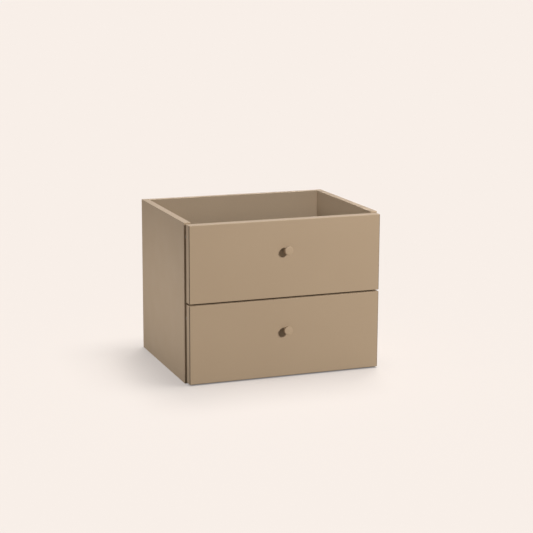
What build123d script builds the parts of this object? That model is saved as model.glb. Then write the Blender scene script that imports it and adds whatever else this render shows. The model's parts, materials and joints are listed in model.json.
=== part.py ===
"""Open-topped insert cabinet with two drawers on roller runners.

Millimetres. +X is the right of the cabinet as seen from the front, +Y runs to its back and +Z is up.
The origin lies on the floor, under the middle of the whole object with its knobs.
"""

import os
from math import sqrt

from build123d import *

# Case
cabinet_width = 400
cabinet_height = 315
side_depth = 289
side_thickness = 14
floor_thickness = 14
back_thickness = 12
case_round = 1  # eased arrises of the case panels that show

# Drawer fronts
front_thickness = 19
front_side_reveal = 3  # case to the left and right of a front
front_top_reveal = 2.5  # sides above the upper front
front_floor_gap = 2.5
front_spacing = 3  # gap between the two fronts
front_stand_off = 3  # gap between the fronts and the front edges of the case
lower_front_extra = 3  # the lower front is this much taller than the upper one
front_round = 1.2  # round-over along the edges of a front's face

# Drawer boxes
box_rear_clearance = 25  # between a box and the back panel
box_height = 85
box_rise = 18  # lower edge of the box above the lower edge of its front
box_side_thickness = 12
box_back_thickness = 12
box_ease = 1  # chamfer along the arrises of a box
tray_thickness = 4  # the thin bottom of the box
tray_height = 6  # underside of the tray above the lower edge of the box
groove_depth = 6
groove_play = 0.2

# Knob
knob_length = 15
knob_radius = 8.4
knob_neck_radius = 5
knob_flare_distance = 4  # from the front to where the neck starts to widen
knob_rim_distance = 9.5  # from the front to the start of the rim
knob_ease = 1.2
knob_rise = 94  # centre of the knob above the lower edge of its front
knob_thread_depth = 9

# Roller runners
runner_space = 12.5  # between the case and the drawer box, on each side
runner_sheet = 1.2
case_rail_setback = 2  # behind the front edge of the case
drawer_rail_setback = 1  # behind the inner face of the drawer front
drawer_rail_margin = 4  # from the rear end of a drawer rail to the rear of its box
rail_drop = 2  # underside of the case rail below the underside of the drawer rail
track_width = 10.3
track_lip = 2.4  # above the track
guard_width = 7  # upper flange of the case rail, over the rear roller
guard_gap = 0.8  # between the rear roller and the guard
guard_notch_margin = 2  # between the front roller and the shortened guard
rail_gap = 0.6  # between the guard and the flange of the drawer rail
flange_wall_gap = 2.5  # between the flange of the drawer rail and the case
shelf_width = 11  # flange of the drawer rail under the box
runner_overlap = 60  # length of a drawer rail that stays in its case rail when the drawer is open
stop_height = 2  # tab that stops the rear roller, above the track
stop_play = 0.5

# Rollers and their pins
roller_radius = 8.5
roller_width = 5
roller_sides = 18
roller_wall_gap = 3.6  # between the case and the near face of a roller
roller_play = 0.3  # between a roller and what it runs on
roller_end_margin = 11  # centre of a roller to the end of its rail
pin_radius = 2
pin_shoulder_radius = 3
pin_head_radius = 3.5
pin_head_thickness = 0.8
pin_side_play = 0.2
pin_running_play = 0.08

# Stop pads between the case and the fronts
pad_radius = 4
pad_play = 0.3  # between a pad and the closed front
pad_rise = 127  # above the lower edge of a front

# Dowels
dowel_radius = 3
dowel_seat = 9  # depth in the face of a board
dowel_reach = 16  # depth in the end of a board
dowel_end_play = 0.5
back_dowel_height_shares = (0.25, 0.75)  # of the height of the back
box_dowel_height_shares = (0.32, 0.86)  # of the height of the box

# Cam fittings: a cam in the end of one board draws in a bolt that stands on the face of the other
cam_reach = 24  # centre of a cam to the end of its board
bolt_anchor = 10  # depth of a bolt in the face of a board
bolt_head_length = 3  # of the bolt past the centre of its cam
cam_base = 1.5  # thickness of a cam under its bolt
cam_slot_width = 1.6
cam_slot_depth = 2
cam_slot_share = 1.5  # length of the driver's slot, of the cam's radius
case_cam_radius = 7.5
case_bolt_radius = 3
case_cam_setback = 40  # from the front and rear edges of the floor panel
box_cam_radius = 6
box_bolt_radius = 2.5
box_cam_height_share = 0.6  # of the height of the box

# Screws
fastener_sides = 6  # every screw, dowel, bolt, pin and pad is a prism, and so is its hole
cam_sides = 10
fastener_fit = 0.05  # radial room of every screw, dowel, bolt and cam in its hole
fastener_end_play = 0.5
sunk_screw_radius = 2
sunk_head_radius = 4
sunk_head_height = 2
back_screw_length = 35
back_screw_width_shares = (-0.36, 0, 0.36)  # of the cabinet's width
box_screw_length = 40
box_screw_height_shares = (0.4, 0.8)  # of the height of the box
rail_screw_radius = 1.75
rail_screw_length = 9  # in the wood
rail_screw_head_radius = 3
rail_screw_head_height = 1
rail_screw_setback = 40  # from both ends of a rail
drawer_rail_screw_height = 14  # above the lower edge of the box
tray_screw_radius = 1.5
tray_screw_length = 14  # in the back of the box
tray_screw_head_radius = 3
tray_screw_head_height = 1.8
tray_screw_width_shares = (-0.3, 0, 0.3)  # of the cabinet's width
knob_screw_radius = 2
knob_screw_head_radius = 4
knob_screw_head_height = 2.5

overrun = 5  # how far a cut runs past what it cuts

# Directions
to_left = (-1, 0, 0)
to_right = (1, 0, 0)
to_front = (0, -1, 0)
to_back = (0, 1, 0)
downward = (0, 0, -1)

# Places across the width
half_width = cabinet_width / 2
case_inner_x = half_width - side_thickness
box_outer_x = case_inner_x - runner_space
box_inner_x = box_outer_x - box_side_thickness
box_middle_x = (box_outer_x + box_inner_x) / 2
box_cam_height = box_side_thickness / 2 + box_bolt_radius + cam_base
tray_edge_x = box_inner_x + groove_depth - groove_play
roller_middle_x = case_inner_x - roller_wall_gap - roller_width / 2

# Places along the depth
overall_depth = knob_length + front_thickness + front_stand_off + side_depth
rear_y = overall_depth / 2
back_inner_y = rear_y - back_thickness
back_middle_y = rear_y - back_thickness / 2
face_y = knob_length - overall_depth / 2
front_inner_y = face_y + front_thickness
case_front_y = front_inner_y + front_stand_off
case_depth = back_inner_y - case_front_y
box_rear_y = back_inner_y - box_rear_clearance
box_depth = box_rear_y - front_inner_y
box_back_middle_y = box_rear_y - box_back_thickness / 2
runner_length = box_depth - drawer_rail_setback - drawer_rail_margin
drawer_travel = runner_length - runner_overlap
case_rail_front_y = case_front_y + case_rail_setback
case_rail_rear_y = case_rail_front_y + runner_length
drawer_rail_front_y = front_inner_y + drawer_rail_setback
drawer_rail_rear_y = drawer_rail_front_y + runner_length
front_roller_y = case_rail_front_y + roller_end_margin
rear_roller_y = drawer_rail_rear_y - roller_end_margin

# Heights of the case and the fronts
floor_middle = floor_thickness / 2
case_cam_height = floor_middle + case_bolt_radius + cam_base
front_width = cabinet_width - 2 * front_side_reveal
front_heights_sum = cabinet_height - front_top_reveal - front_floor_gap - front_spacing
upper_front_height = (front_heights_sum - lower_front_extra) / 2
lower_front_height = upper_front_height + lower_front_extra
lower_front_level = front_floor_gap
upper_front_level = lower_front_level + lower_front_height + front_spacing
front_levels = {"lower": lower_front_level, "upper": upper_front_level}
front_heights = {"lower": lower_front_height, "upper": upper_front_height}

# Heights of a runner above the underside of its case rail
rear_roller_rise = runner_sheet + roller_play + roller_radius
rail_height = rear_roller_rise + roller_radius + guard_gap + runner_sheet
flange_rise = rail_height + rail_gap
front_roller_rise = flange_rise - roller_play - roller_radius

# At the end of the drawer's travel the rear roller comes up against the top edge of the stop tab
stop_reach = sqrt(roller_radius**2 - (roller_radius + roller_play - stop_height) ** 2)
stop_y = rear_roller_y - drawer_travel - stop_reach - stop_play


def box_level(front_level):
    """Height of the lower edge of a drawer box, from that of its front."""
    return front_level + box_rise


def rail_level(front_level):
    """Height of the underside of a case rail, from the lower edge of the drawer's front."""
    return box_level(front_level) - runner_sheet - rail_drop


# Planes that mark where things are drilled and fastened


def facing(direction, points):
    """Planes through the points, which all look in one direction."""
    return [Plane(origin=point, z_dir=direction) for point in points]


def across(vector):
    """A vector's mirror image on the other side of the cabinet."""
    return (-vector.X, vector.Y, vector.Z)


def both_sides(planes):
    """The planes and their mirror images on the other side of the cabinet."""
    twins = [Plane(across(p.origin), x_dir=across(p.x_dir), z_dir=across(p.z_dir)) for p in planes]
    return [*planes, *twins]


def turned(planes):
    """The planes, looking the other way."""
    return [-plane for plane in planes]


def lifted(planes, distance):
    """The planes, moved along the way that they look."""
    return [plane.offset(distance) for plane in planes]


# Holes and fasteners


def prisms(planes, radius, length, sides=fastener_sides, mode=Mode.ADD):
    """Prisms that stand on the planes."""
    with BuildSketch(*planes) as outlines:
        RegularPolygon(radius, sides)
    extrude(outlines.sketch, amount=length, mode=mode)


def bore(planes, radius, depth, sides=fastener_sides):
    """Drills into the faces that look along the planes, with room for what goes in."""
    prisms(turned(planes), radius + fastener_fit, depth, sides, Mode.SUBTRACT)


def sink(planes, depth):
    """Drills holes for sunk screws into the faces that look along the planes."""
    bore(planes, sunk_head_radius, sunk_head_height + fastener_fit)
    bore(planes, sunk_screw_radius, depth)


def sunk_screws(planes, length):
    """Screws sunk flush into the faces that look along the planes."""
    with BuildPart() as screws:
        prisms(turned(planes), sunk_head_radius, sunk_head_height)
        prisms(turned(planes), sunk_screw_radius, length)
    return screws


def headed_screws(planes, radius, length, head_radius, head_height):
    """Screws whose low heads stand on the faces that look along the planes."""
    with BuildPart() as screws:
        prisms(planes, head_radius, head_height)
        prisms(turned(planes), radius, length)
    return screws


def dowels(planes):
    """Dowels from the face behind each plane into the board's end before it."""
    length = dowel_seat + dowel_reach - 2 * dowel_end_play
    with BuildPart() as pegs:
        prisms(lifted(planes, dowel_end_play - dowel_seat), dowel_radius, length)
    return pegs


def cam_bolts(planes, radius):
    """Bolts screwed into the face behind each plane, with their heads in the cams before it."""
    with BuildPart() as bolts:
        prisms(lifted(planes, -bolt_anchor), radius, bolt_anchor + cam_reach + bolt_head_length)
    return bolts


def cams(planes, radius, height, bolt_depth, bolt_radius):
    """Cams let into the face at each plane, whose x points at the joint that they draw together."""
    channel_half = bolt_radius + fastener_fit
    channel_end = bolt_head_length + fastener_end_play
    with BuildPart() as pieces:
        prisms(turned(planes), radius, height, cam_sides)
        with BuildSketch(*lifted(planes, -bolt_depth)):
            with Locations((-channel_end, 0)):
                Rectangle(channel_end + radius, 2 * channel_half, align=(Align.MIN, Align.CENTER))
        extrude(amount=channel_half, both=True, mode=Mode.SUBTRACT)
        with BuildSketch(*planes):
            Rectangle(radius * cam_slot_share, cam_slot_width)
        extrude(amount=-cam_slot_depth, mode=Mode.SUBTRACT)
    return pieces


# Joints of the case, as planes that look from the face of one board into the end of the other

cam_ys = (case_front_y + case_cam_setback, back_inner_y - case_cam_setback)
case_bolt_planes = facing(to_left, [(case_inner_x, y, floor_middle) for y in cam_ys])
case_cam_planes = [
    Plane((case_inner_x - cam_reach, y, 0), x_dir=to_right, z_dir=downward) for y in cam_ys
]
floor_dowel_planes = facing(to_left, [(case_inner_x, case_front_y + case_depth / 2, floor_middle)])
back_dowel_planes = facing(
    to_left,
    [(case_inner_x, back_middle_y, share * cabinet_height) for share in back_dowel_height_shares],
)
back_screw_planes = facing(
    to_back,
    [(share * cabinet_width, rear_y, floor_middle) for share in back_screw_width_shares],
)

# Joints of a drawer box, the same way


def box_heights(front_level, shares):
    """Heights at shares of a drawer box."""
    return [box_level(front_level) + share * box_height for share in shares]


def box_bolt_planes(front_level):
    heights = box_heights(front_level, [box_cam_height_share])
    return facing(to_back, [(box_middle_x, front_inner_y, height) for height in heights])


def box_cam_planes(front_level):
    heights = box_heights(front_level, [box_cam_height_share])
    return [
        Plane((box_inner_x, front_inner_y + cam_reach, height), x_dir=to_front, z_dir=to_left)
        for height in heights
    ]


def box_dowel_planes(front_level):
    heights = box_heights(front_level, box_dowel_height_shares)
    return facing(to_back, [(box_middle_x, front_inner_y, height) for height in heights])


def box_screw_planes(front_level):
    heights = box_heights(front_level, box_screw_height_shares)
    return facing(to_right, [(box_outer_x, box_back_middle_y, height) for height in heights])


def tray_screw_planes(front_level):
    level = box_level(front_level) + tray_height
    places = [share * cabinet_width for share in tray_screw_width_shares]
    return facing(downward, [(x, box_back_middle_y, level) for x in places])


def knob_height(front_level):
    """Height of the centre of a knob."""
    return front_level + knob_rise


# Where the runners are fastened, on the right of the cabinet


def case_rail_screw_planes(front_level):
    height = rail_level(front_level) + rail_height / 2
    places = (case_rail_front_y + rail_screw_setback, case_rail_rear_y - rail_screw_setback)
    return facing(to_left, [(case_inner_x, y, height) for y in places])


def drawer_rail_screw_planes(front_level):
    height = box_level(front_level) + drawer_rail_screw_height
    places = (drawer_rail_front_y + rail_screw_setback, drawer_rail_rear_y - rail_screw_setback)
    return facing(to_right, [(box_outer_x, y, height) for y in places])


def front_pin_planes(front_level):
    height = rail_level(front_level) + front_roller_rise
    return facing(to_left, [(case_inner_x, front_roller_y, height)])


def rear_pin_planes(front_level):
    height = rail_level(front_level) + rear_roller_rise
    return facing(to_right, [(box_outer_x, rear_roller_y, height)])


# Case panels

with BuildPart() as right_side_panel:
    with BuildSketch(Plane.YZ.offset(case_inner_x)):
        with Locations((case_front_y, 0)):
            Rectangle(side_depth, cabinet_height, align=Align.MIN)
    extrude(amount=side_thickness)
    top_arrises = right_side_panel.edges().group_by(Axis.Z)[-1].sort_by(Axis.Y)[:-1]
    front_arrises = right_side_panel.edges().filter_by(Axis.Z).group_by(Axis.Y)[0]
    fillet(top_arrises + front_arrises, case_round)
    bore(floor_dowel_planes + back_dowel_planes, dowel_radius, dowel_seat)
    bore(case_bolt_planes, case_bolt_radius, bolt_anchor)
    for front_level in front_levels.values():
        bore(
            case_rail_screw_planes(front_level),
            rail_screw_radius,
            rail_screw_length + fastener_end_play,
        )

with BuildPart() as left_side_panel:
    mirror(right_side_panel.part, about=Plane.YZ)

with BuildPart() as back_panel:
    with BuildSketch(Plane.XZ.offset(-rear_y)):
        Rectangle(2 * case_inner_x, cabinet_height, align=(Align.CENTER, Align.MIN))
    extrude(amount=back_thickness)
    fillet(back_panel.edges().filter_by(Axis.X).group_by(Axis.Z)[-1], case_round)
    bore(turned(both_sides(back_dowel_planes)), dowel_radius, dowel_reach)
    sink(back_screw_planes, back_thickness)

with BuildPart() as floor_panel:
    with BuildSketch(Plane.XY):
        with Locations((0, case_front_y)):
            Rectangle(2 * case_inner_x, case_depth, align=(Align.CENTER, Align.MIN))
    extrude(amount=floor_thickness)
    bore(turned(both_sides(floor_dowel_planes)), dowel_radius, dowel_reach)
    bore(both_sides(case_cam_planes), case_cam_radius, case_cam_height + fastener_fit, cam_sides)
    bore(turned(both_sides(case_bolt_planes)), case_bolt_radius, cam_reach)
    bore(
        lifted(back_screw_planes, -back_thickness),
        sunk_screw_radius,
        back_screw_length - back_thickness + fastener_end_play,
    )

case_cams = cams(
    both_sides(case_cam_planes), case_cam_radius, case_cam_height, floor_middle, case_bolt_radius
)
case_cam_bolts = cam_bolts(both_sides(case_bolt_planes), case_bolt_radius)
case_dowels = dowels(both_sides(floor_dowel_planes + back_dowel_planes))
back_panel_screws = sunk_screws(back_screw_planes, back_screw_length)

with BuildPart() as stop_pads:
    pad_x = half_width - side_thickness / 2
    for front_level in front_levels.values():
        pad_planes = facing(to_front, [(pad_x, case_front_y, front_level + pad_rise)])
        prisms(both_sides(pad_planes), pad_radius, front_stand_off - pad_play)

# Rails, bent from sheet


def bent_rail(points, side, rear_end):
    """Sheet on one side of a line across the cabinet, drawn forward from its rear end."""
    with BuildPart() as rail:
        with BuildSketch(Plane.XZ.offset(-rear_end)):
            with BuildLine():
                Polyline(*points)
                offset(amount=runner_sheet, side=side)
            make_face()
        extrude(amount=runner_length)
    return rail


def case_rail(front_level):
    """Right-hand case rail: web, track with a lip, guard over the rear roller, and stop tab."""
    track_level = rail_level(front_level) + runner_sheet
    guard_level = rail_level(front_level) + rail_height - runner_sheet
    web_x = case_inner_x - runner_sheet
    lip_x = case_inner_x - track_width + runner_sheet
    line = [
        (case_inner_x - guard_width, guard_level),
        (web_x, guard_level),
        (web_x, track_level),
        (lip_x, track_level),
        (lip_x, track_level + track_lip),
    ]
    profile = bent_rail(line, Side.LEFT, case_rail_rear_y)
    notch_length = roller_end_margin + roller_radius + guard_notch_margin
    with BuildPart() as rail:
        add(profile.part)
        # The guard stops short behind the front roller
        with BuildSketch(Plane.XY.offset(guard_level)):
            with Locations((web_x, case_rail_front_y + notch_length)):
                Rectangle(guard_width, notch_length + overrun, align=Align.MAX)
        extrude(amount=runner_sheet + overrun, mode=Mode.SUBTRACT)
        with BuildSketch(Plane.XY.offset(track_level)):
            with Locations((lip_x, stop_y)):
                Rectangle(web_x - lip_x, runner_sheet, align=(Align.MIN, Align.MAX))
        extrude(amount=stop_height)
        screw_faces = lifted(case_rail_screw_planes(front_level), runner_sheet)
        bore(screw_faces, rail_screw_radius, runner_sheet + overrun)
        pin_faces = lifted(front_pin_planes(front_level), runner_sheet)
        bore(pin_faces, pin_radius, runner_sheet + overrun)
    return rail


def drawer_rail(front_level):
    """Right-hand drawer rail: shelf under the box, web on its side, flange over the front roller."""
    level = box_level(front_level)
    flange_top = rail_level(front_level) + flange_rise + runner_sheet
    line = [
        (box_outer_x - shelf_width, level),
        (box_outer_x, level),
        (box_outer_x, flange_top),
        (case_inner_x - flange_wall_gap, flange_top),
    ]
    profile = bent_rail(line, Side.RIGHT, drawer_rail_rear_y)
    with BuildPart() as rail:
        add(profile.part)
        screw_faces = lifted(drawer_rail_screw_planes(front_level), runner_sheet)
        bore(screw_faces, rail_screw_radius, runner_sheet + overrun)
        pin_faces = lifted(rear_pin_planes(front_level), runner_sheet)
        bore(pin_faces, pin_radius, runner_sheet + overrun)
    return rail


def rail_screws(planes):
    """Screws that hold rails on the faces at the planes."""
    return headed_screws(
        lifted(planes, runner_sheet),
        rail_screw_radius,
        runner_sheet + rail_screw_length,
        rail_screw_head_radius,
        rail_screw_head_height,
    )


def pins(planes, roller_start):
    """Pins riveted flush into the webs at the planes, with a shoulder and a head round each roller."""
    shoulder_end = roller_start - pin_side_play
    head_start = roller_start + roller_width + pin_side_play
    with BuildPart() as pieces:
        prisms(planes, pin_radius, head_start)
        prisms(lifted(planes, runner_sheet), pin_shoulder_radius, shoulder_end - runner_sheet)
        prisms(lifted(planes, head_start), pin_head_radius, pin_head_thickness)
    return pieces


def roller(y, height):
    """Right-hand nylon roller with its running bore."""
    with BuildPart() as wheel:
        with BuildSketch(Plane((roller_middle_x, y, height), z_dir=to_right)):
            RegularPolygon(roller_radius, roller_sides)
            Circle(pin_radius + pin_running_play, mode=Mode.SUBTRACT)
        extrude(amount=roller_width / 2, both=True)
    return wheel


# Drawer boxes


def drawer_front(front_level, front_height):
    tray_level = box_level(front_level) + tray_height
    with BuildPart() as front:
        with BuildSketch(Plane.XZ.offset(-front_inner_y)):
            with Locations((0, front_level)):
                Rectangle(front_width, front_height, align=(Align.CENTER, Align.MIN))
        extrude(amount=front_thickness)
        fillet(front.edges().group_by(Axis.Y)[0], front_round)
        # Groove for the front edge of the tray
        with BuildSketch(Plane.XZ.offset(-front_inner_y)):
            with Locations((0, tray_level)):
                Rectangle(
                    2 * (tray_edge_x + groove_play),
                    tray_thickness + groove_play,
                    align=(Align.CENTER, Align.MIN),
                )
        extrude(amount=groove_depth, mode=Mode.SUBTRACT)
        bore(both_sides(box_dowel_planes(front_level)), dowel_radius, dowel_seat)
        bore(both_sides(box_bolt_planes(front_level)), box_bolt_radius, bolt_anchor)
        bore(
            facing(to_back, [(0, front_inner_y, knob_height(front_level))]),
            knob_screw_radius,
            front_thickness + overrun,
        )
    return front


def box_side(front_level):
    """Right-hand side of a drawer box."""
    level = box_level(front_level)
    with BuildPart() as side:
        with BuildSketch(Plane.YZ.offset(box_inner_x)):
            with Locations((front_inner_y, level)):
                Rectangle(box_depth, box_height, align=Align.MIN)
        extrude(amount=box_side_thickness)
        chamfer(side.edges().filter_by(Axis.Y), box_ease)
        # Groove for the edge of the tray
        with BuildSketch(Plane.YZ.offset(box_inner_x)):
            with Locations((front_inner_y, level + tray_height)):
                Rectangle(box_depth, tray_thickness + groove_play, align=Align.MIN)
        extrude(amount=groove_depth, mode=Mode.SUBTRACT)
        bore(turned(box_dowel_planes(front_level)), dowel_radius, dowel_reach)
        bore(box_cam_planes(front_level), box_cam_radius, box_cam_height + fastener_fit, cam_sides)
        bore(turned(box_bolt_planes(front_level)), box_bolt_radius, cam_reach)
        sink(box_screw_planes(front_level), box_side_thickness)
        bore(
            drawer_rail_screw_planes(front_level),
            rail_screw_radius,
            rail_screw_length + fastener_end_play,
        )
    return side


def box_back(front_level):
    rise = tray_height + tray_thickness
    with BuildPart() as back:
        with BuildSketch(Plane.XZ.offset(-box_rear_y)):
            with Locations((0, box_level(front_level) + rise)):
                Rectangle(2 * box_inner_x, box_height - rise, align=(Align.CENTER, Align.MIN))
        extrude(amount=box_back_thickness)
        chamfer(back.edges().filter_by(Axis.X).group_by(Axis.Z)[-1], box_ease)
        end_planes = lifted(box_screw_planes(front_level), -box_side_thickness)
        screw_reach = box_screw_length - box_side_thickness + fastener_end_play
        bore(both_sides(end_planes), sunk_screw_radius, screw_reach)
        bore(
            lifted(tray_screw_planes(front_level), -tray_thickness),
            tray_screw_radius,
            tray_screw_length + fastener_end_play,
        )
    return back


def box_tray(front_level):
    """Thin bottom: it sits in the grooves of the front and sides and runs under the back."""
    front_edge_y = front_inner_y - groove_depth + groove_play
    with BuildPart() as tray:
        with BuildSketch(Plane.XY.offset(box_level(front_level) + tray_height)):
            with Locations((0, front_edge_y)):
                Rectangle(2 * tray_edge_x, box_rear_y - front_edge_y, align=(Align.CENTER, Align.MIN))
        extrude(amount=tray_thickness)
        bore(tray_screw_planes(front_level), tray_screw_radius, tray_thickness + overrun)
    return tray


def tray_screws(front_level):
    return headed_screws(
        tray_screw_planes(front_level),
        tray_screw_radius,
        tray_thickness + tray_screw_length,
        tray_screw_head_radius,
        tray_screw_head_height,
    )


# Knobs, turned about an axis square to the front


def knob(front_level):
    axis_plane = Plane((0, face_y, knob_height(front_level)), x_dir=to_right, z_dir=downward)
    with BuildPart() as turned_knob:
        with BuildSketch(axis_plane):
            with BuildLine():
                Polyline(
                    (0, 0),
                    (knob_neck_radius, 0),
                    (knob_neck_radius, knob_flare_distance),
                    (knob_radius, knob_rim_distance),
                    (knob_radius, knob_length - knob_ease),
                    (knob_radius - knob_ease, knob_length),
                    (0, knob_length),
                    close=True,
                )
            make_face()
        revolve(axis=Axis(axis_plane.origin, to_front))
        bore(facing(to_back, [axis_plane.origin]), knob_screw_radius, knob_thread_depth)
    return turned_knob


def knob_screw(front_level):
    return headed_screws(
        facing(to_back, [(0, front_inner_y, knob_height(front_level))]),
        knob_screw_radius,
        front_thickness + knob_thread_depth - fastener_end_play,
        knob_screw_head_radius,
        knob_screw_head_height,
    )


# Write every piece


def save(piece, node):
    """Writes a finished piece under the name of its node."""
    piece.part.label = node
    export_step(piece.part, f"parts/{node}.step")


def save_pair(piece, name_parts):
    """Writes a right-hand piece and its left-hand twin."""
    before, after = name_parts
    with BuildPart() as twin:
        mirror(piece.part, about=Plane.YZ)
    save(piece, f"{before}_right_{after}")
    save(twin, f"{before}_left_{after}")


os.makedirs("parts", exist_ok=True)

save(left_side_panel, "left_side_panel")
save(right_side_panel, "right_side_panel")
save(back_panel, "back_panel")
save(floor_panel, "floor_panel")
save(case_cams, "case_cams")
save(case_cam_bolts, "case_cam_bolts")
save(case_dowels, "case_dowels")
save(back_panel_screws, "back_panel_screws")
save(stop_pads, "stop_pads")

for name, front_level in front_levels.items():
    level = rail_level(front_level)

    # Runners on the case
    save_pair(case_rail(front_level), (name, "case_rail"))
    save_pair(roller(front_roller_y, level + front_roller_rise), (name, "front_roller"))
    case_pins = pins(both_sides(front_pin_planes(front_level)), roller_wall_gap)
    save(case_pins, f"{name}_front_roller_pins")
    save(rail_screws(both_sides(case_rail_screw_planes(front_level))), f"{name}_case_rail_screws")

    # Runners on the drawer
    save_pair(drawer_rail(front_level), (name, "drawer_rail"))
    save_pair(roller(rear_roller_y, level + rear_roller_rise), (name, "rear_roller"))
    rear_roller_start = runner_space - roller_wall_gap - roller_width
    drawer_pins = pins(both_sides(rear_pin_planes(front_level)), rear_roller_start)
    save(drawer_pins, f"{name}_rear_roller_pins")
    save(rail_screws(both_sides(drawer_rail_screw_planes(front_level))), f"{name}_drawer_rail_screws")

    # Drawer
    save(drawer_front(front_level, front_heights[name]), f"{name}_drawer_front")
    save_pair(box_side(front_level), (f"{name}_drawer", "side"))
    save(box_back(front_level), f"{name}_drawer_back")
    save(box_tray(front_level), f"{name}_drawer_tray")
    box_cams = cams(
        both_sides(box_cam_planes(front_level)),
        box_cam_radius,
        box_cam_height,
        box_side_thickness / 2,
        box_bolt_radius,
    )
    save(box_cams, f"{name}_drawer_cams")
    box_bolts = cam_bolts(both_sides(box_bolt_planes(front_level)), box_bolt_radius)
    save(box_bolts, f"{name}_drawer_cam_bolts")
    save(dowels(both_sides(box_dowel_planes(front_level))), f"{name}_drawer_dowels")
    box_screws = sunk_screws(both_sides(box_screw_planes(front_level)), box_screw_length)
    save(box_screws, f"{name}_drawer_back_screws")
    save(tray_screws(front_level), f"{name}_drawer_tray_screws")
    save(knob(front_level), f"{name}_knob")
    save(knob_screw(front_level), f"{name}_knob_screw")
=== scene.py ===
# %% [markdown]
# # A two-drawer insert in taupe lacquer
# The object is a small open-topped cabinet: two side panels, a back, and two drawer fronts with a turned
# knob each. Its solids come from a CAD model, so this lesson only dresses them: it rounds what a sprayer
# and a lathe round, puts real heads on the screws, mixes the finishes and sets up a plain photo studio.

# %% Load the solids
import json
import math

import bmesh
import bpy
from mathutils import Matrix, Vector

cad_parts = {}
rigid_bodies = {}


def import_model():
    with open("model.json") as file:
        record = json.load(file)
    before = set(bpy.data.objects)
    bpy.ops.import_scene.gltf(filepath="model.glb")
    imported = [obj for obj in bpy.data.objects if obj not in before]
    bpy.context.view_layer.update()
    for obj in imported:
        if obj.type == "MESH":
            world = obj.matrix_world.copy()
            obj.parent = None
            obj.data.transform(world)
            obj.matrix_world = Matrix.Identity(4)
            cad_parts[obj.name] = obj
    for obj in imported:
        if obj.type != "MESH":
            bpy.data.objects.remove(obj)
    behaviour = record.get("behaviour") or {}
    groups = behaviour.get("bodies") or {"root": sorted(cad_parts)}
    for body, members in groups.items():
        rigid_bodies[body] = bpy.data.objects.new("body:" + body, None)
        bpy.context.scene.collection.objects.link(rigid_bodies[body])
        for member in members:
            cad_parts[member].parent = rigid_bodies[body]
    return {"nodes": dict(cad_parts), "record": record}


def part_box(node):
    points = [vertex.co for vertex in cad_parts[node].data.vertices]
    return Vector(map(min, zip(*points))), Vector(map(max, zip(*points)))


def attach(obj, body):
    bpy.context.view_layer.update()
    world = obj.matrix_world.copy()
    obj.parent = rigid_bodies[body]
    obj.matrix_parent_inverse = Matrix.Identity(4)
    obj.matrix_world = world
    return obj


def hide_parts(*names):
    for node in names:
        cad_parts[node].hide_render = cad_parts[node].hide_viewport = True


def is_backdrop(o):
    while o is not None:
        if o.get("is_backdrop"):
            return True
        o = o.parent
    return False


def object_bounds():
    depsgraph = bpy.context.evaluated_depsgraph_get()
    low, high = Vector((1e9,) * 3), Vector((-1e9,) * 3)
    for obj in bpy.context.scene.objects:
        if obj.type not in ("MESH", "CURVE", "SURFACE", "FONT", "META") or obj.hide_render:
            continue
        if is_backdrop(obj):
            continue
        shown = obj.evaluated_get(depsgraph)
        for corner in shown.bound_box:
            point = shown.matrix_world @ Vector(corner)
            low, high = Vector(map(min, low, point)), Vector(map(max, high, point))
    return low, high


for leftover in list(bpy.data.objects):
    bpy.data.objects.remove(leftover)
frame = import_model()
cad_low, cad_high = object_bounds()

# %% [markdown]
# ## Camera
# The photograph was taken from the front left and a little above, with a long lens. The viewpoint was
# worked out from the straight edges of the boards, so the camera is placed by its turn, tilt and roll
# instead of being aimed by eye. A tracking constraint would be simpler, but it can't hold a roll.

# %% Camera
image_width = 533
focal_length_px = 1494.94
sensor_width = 36
view_reach = 500
camera_turn = math.radians(20.609)
camera_tilt = math.radians(11.977)
camera_roll = -0.00447
camera_place = Vector((-1.02997, -2.77742, 0.82))

forward = Vector((
    math.sin(camera_turn) * math.cos(camera_tilt),
    math.cos(camera_turn) * math.cos(camera_tilt),
    -math.sin(camera_tilt),
))
level_right = Vector((math.cos(camera_turn), -math.sin(camera_turn), 0))
level_down = forward.cross(level_right)
right = level_right * math.cos(camera_roll) + level_down * math.sin(camera_roll)
down = level_down * math.cos(camera_roll) - level_right * math.sin(camera_roll)

camera = bpy.data.objects.new("camera", bpy.data.cameras.new("camera"))
camera.data.sensor_width = sensor_width
camera.data.lens = focal_length_px / image_width * sensor_width
camera.data.clip_end = view_reach
camera.matrix_world = Matrix((right, -down, -forward)).transposed().to_4x4()
camera.location = camera_place
bpy.context.scene.collection.objects.link(camera)
bpy.context.scene.camera = camera
bpy.context.scene.view_settings.view_transform = "Standard"
print("camera: lens", round(camera.data.lens, 2), "mm")

# %% [markdown]
# ## Nodes
# Every material below is a small network of nodes. One helper adds a node, sets it up and links its
# inputs, so that each network can be read from top to bottom like a recipe. Sums and products are so
# common that a Math node has a helper of its own.


# %% Node helpers
def add_node(tree, kind, inputs=None, **settings):
    """A node with its settings, and values or links on the inputs that are named or numbered."""
    node = tree.nodes.new(kind)
    for name, value in settings.items():
        setattr(node, name, value)
    for name, value in (inputs or {}).items():
        if isinstance(value, bpy.types.NodeSocket):
            tree.links.new(value, node.inputs[name])
        else:
            node.inputs[name].default_value = value
    return node


def math_node(tree, operation, *values):
    """The result of a Math node."""
    return add_node(tree, "ShaderNodeMath", dict(enumerate(values)), operation=operation).outputs[0]


# %% [markdown]
# ## Surface effects that finishes share
# Several finishes show the same kind of unevenness at different sizes. So each effect is a node group with
# its sizes as inputs, and one recipe serves several materials. A picture texture could do the same, but it
# would blur close up and need unwrapping. All effects are noise in the object's own space, so they run on
# over an edge as a coat of paint does.


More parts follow.
